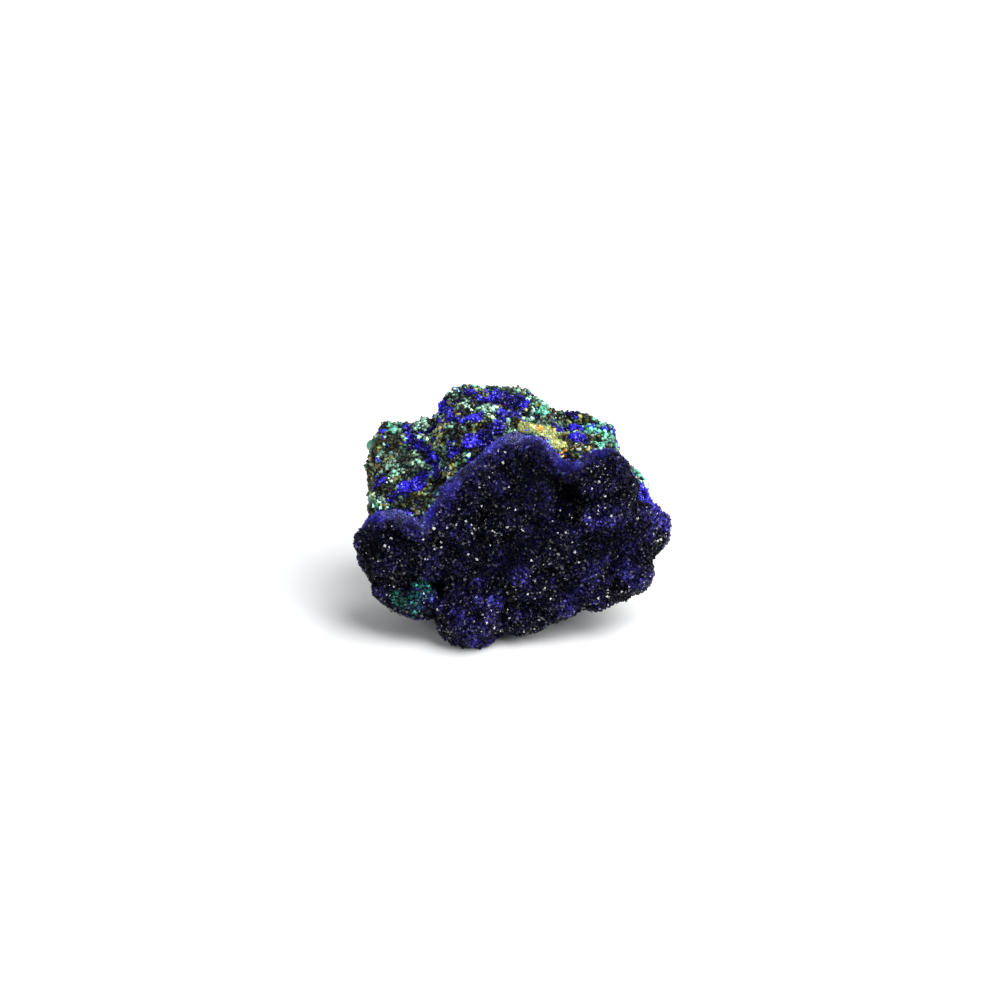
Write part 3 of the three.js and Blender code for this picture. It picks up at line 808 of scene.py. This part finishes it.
def mottle_group():
    """A shared node group: the colour of the points, made lighter and darker by noise, and a fine height."""
    group = bpy.data.node_groups.new("mottled mineral", "ShaderNodeTree")
    group.interface.new_socket("Scale", in_out="INPUT", socket_type="NodeSocketFloat")
    group.interface.new_socket("Colour", in_out="OUTPUT", socket_type="NodeSocketColor")
    group.interface.new_socket("Height", in_out="OUTPUT", socket_type="NodeSocketFloat")
    ends = group.nodes.new("NodeGroupInput"), group.nodes.new("NodeGroupOutput")
    place = group.nodes.new("ShaderNodeTexCoord")
    noise = group.nodes.new("ShaderNodeTexNoise")
    noise.inputs["Detail"].default_value = NOISE_DETAIL
    colour = group.nodes.new("ShaderNodeAttribute")
    colour.attribute_name = "tint"
    stretch = group.nodes.new("ShaderNodeMapRange")
    stretch.inputs["From Min"].default_value, stretch.inputs["From Max"].default_value = NOISE_RANGE
    stretch.inputs["To Min"].default_value, stretch.inputs["To Max"].default_value = SHADE_RANGE
    scaled = group.nodes.new("ShaderNodeVectorMath")
    scaled.operation = "SCALE"
    link = group.links.new
    link(place.outputs["Object"], noise.inputs["Vector"])
    link(ends[0].outputs["Scale"], noise.inputs["Scale"])
    link(noise.outputs["Fac"], stretch.inputs["Value"])
    link(colour.outputs["Color"], scaled.inputs[0])
    link(stretch.outputs["Result"], scaled.inputs["Scale"])
    link(scaled.outputs["Vector"], ends[1].inputs["Colour"])
    link(noise.outputs["Fac"], ends[1].inputs["Height"])
    return group


mottled = mottle_group()
print(mottled.name, "has", len(mottled.nodes), "nodes")

# %% [markdown]
# Azurite and malachite bend light strongly, so a clean face mirrors a lamp. On dusty crystals and worn grains
# much less of that is left, and fine bumps break it up.

# %% Materials
REFRACTION = 1.75
BUMP_DEPTH = 0.1 * MM


def mineral(name, scale, roughness, shine, bump):
    """A material whose shader takes the mottled colour and, if bump is over 0, the fine height. The shine
    says how much of the mirroring is left on the surface."""
    material = bpy.data.materials.new(name)
    material.use_nodes = True
    nodes, link = material.node_tree.nodes, material.node_tree.links.new
    shader = nodes["Principled BSDF"]
    shader.inputs["Roughness"].default_value = roughness
    shader.inputs["IOR"].default_value = REFRACTION
    shader.inputs["Specular IOR Level"].default_value = shine
    mottle = nodes.new("ShaderNodeGroup")
    mottle.node_tree = mottled
    mottle.inputs["Scale"].default_value = scale
    link(mottle.outputs["Colour"], shader.inputs["Base Color"])
    if bump > 0:
        height = nodes.new("ShaderNodeBump")
        height.inputs["Strength"].default_value = bump
        height.inputs["Distance"].default_value = BUMP_DEPTH
        link(mottle.outputs["Height"], height.inputs["Height"])
        link(height.outputs["Normal"], shader.inputs["Normal"])
    return material


dull_look = mineral("dull azurite crystal", scale=1500, roughness=0.3, shine=0.06, bump=0)
grain_look = mineral("matrix grain", scale=4000, roughness=0.4, shine=0.12, bump=0.4)
bead_look = mineral("malachite bead", scale=4000, roughness=0.35, shine=0.4, bump=0.3)
rock_look = mineral("dull rock", scale=3000, roughness=0.8, shine=0.05, bump=0.6)
clean_look = mineral("clean azurite crystal", scale=1500, roughness=0.08, shine=0.6, bump=0)
velvet_look = mineral("azurite velvet", scale=1500, roughness=0.5, shine=0.12, bump=0)
bright_look = mineral("bright azurite crystal", scale=2500, roughness=0.2, shine=0.22, bump=0)
print("materials:", [material.name for material in bpy.data.materials])

# %% [markdown]
# Each piece gets its material and moves with the part's only body. The rock's skin takes the place of the
# bare solid.

# %% Dressing the pieces
LOOKS = [
    (rock, rock_look, "matrix"),
    (crystals_left, dull_look, "azurite"),
    (crystals_right, dull_look, "azurite"),
    (clean_crystals, clean_look, "azurite"),
    (velvet, velvet_look, "azurite"),
    (grains, grain_look, "matrix"),
    (fine_grains, grain_look, "matrix"),
    (seam_crystals, bright_look, "azurite"),
    (beads, bead_look, "matrix"),
    (large_beads, bead_look, "matrix"),
]
for thing, material, slot in LOOKS:
    thing.data.materials.append(material)
    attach(thing, "root")
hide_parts("azurite_specimen")
print("dressed:", [thing.name for thing, _, _ in LOOKS])

# %% [markdown]
# ## Floor and light
# The specimen lies on a plain white floor. A wide plane is enough, because its edges are out of the camera's
# sight.

# %% Floor
FLOOR_SIZE, FLOOR_ROUGHNESS = 4, 0.9
FLOOR_WHITE = (0.88, 0.88, 0.88, 1)
bpy.ops.mesh.primitive_plane_add(size=FLOOR_SIZE)
floor = bpy.context.object
floor.name = "floor"
paint = bpy.data.materials.new("white floor")
paint.use_nodes = True
paint.node_tree.nodes["Principled BSDF"].inputs["Base Color"].default_value = FLOOR_WHITE
paint.node_tree.nodes["Principled BSDF"].inputs["Roughness"].default_value = FLOOR_ROUGHNESS
floor.data.materials.append(paint)
print("floor:", FLOOR_SIZE, "m wide")

# %% [markdown]
# A wide soft lamp stands above and makes the shadow, a weaker one behind lights the back, and two small ones
# in front are there for the crystal faces to mirror. The room is dim, because a dark crust shows whatever is
# around it.

# %% Lamps and room
ROCK_MIDDLE = np.array([0, 0, 0.01])
ROOM_COLOUR, ROOM_STRENGTH = (0.9, 0.95, 1.0, 1), 0.26
LAMPS = [
    ("lamp above", (0.22, -0.16, 0.52), 0.42, 3.8),
    ("lamp behind", (0.20, 0.36, 0.40), 0.30, 1.2),
    ("lamp front left", (-0.30, -0.30, 0.30), 0.12, 0.40),
    ("lamp front right", (0.34, -0.24, 0.24), 0.16, 0.80),
]


def soft_lamp(name, place, size, power):
    """A square lamp of that size in metres and power in watts, turned to the rock's middle."""
    light = bpy.data.lights.new(name, "AREA")
    light.size, light.energy = size, power
    lamp = bpy.data.objects.new(name, light)
    lamp.location = place
    aim = ROCK_MIDDLE - place
    lamp.rotation_euler = (np.arctan2(np.hypot(aim[0], aim[1]), -aim[2]), 0, np.arctan2(-aim[0], aim[1]))
    bpy.context.scene.collection.objects.link(lamp)


for lamp_values in LAMPS:
    soft_lamp(*lamp_values)
room = bpy.data.worlds.new("room")
room.use_nodes = True
room.node_tree.nodes["Background"].inputs["Color"].default_value = ROOM_COLOUR
room.node_tree.nodes["Background"].inputs["Strength"].default_value = ROOM_STRENGTH
bpy.context.scene.world = room
bpy.context.scene.view_settings.view_transform = "Standard"
print("lamps:", [name for name, _, _, _ in LAMPS])

# %% [markdown]
# ## Camera
# The camera stands in front of the crust and looks down on it by 28 degrees, from 35 centimetres away. A long
# lens keeps the rock's near and far sides alike in scale.

# %% Camera
ELEVATION, DISTANCE, LENS = np.radians(28), 0.35, 142.2
NEAREST, FARTHEST = 0.01, 10
AIM = np.array([-1.125, 0.515, 10.97]) * MM
BACK = np.array([0, -np.cos(ELEVATION), np.sin(ELEVATION)])
camera = bpy.data.objects.new("camera", bpy.data.cameras.new("camera"))
camera.data.lens = LENS
camera.data.clip_start, camera.data.clip_end = NEAREST, FARTHEST
camera.location = AIM + DISTANCE * BACK
camera.rotation_euler = (np.pi / 2 - ELEVATION, 0, 0)
bpy.context.scene.collection.objects.link(camera)
bpy.context.scene.camera = camera
print("camera at", np.round(AIM + DISTANCE * BACK, 3), "m")
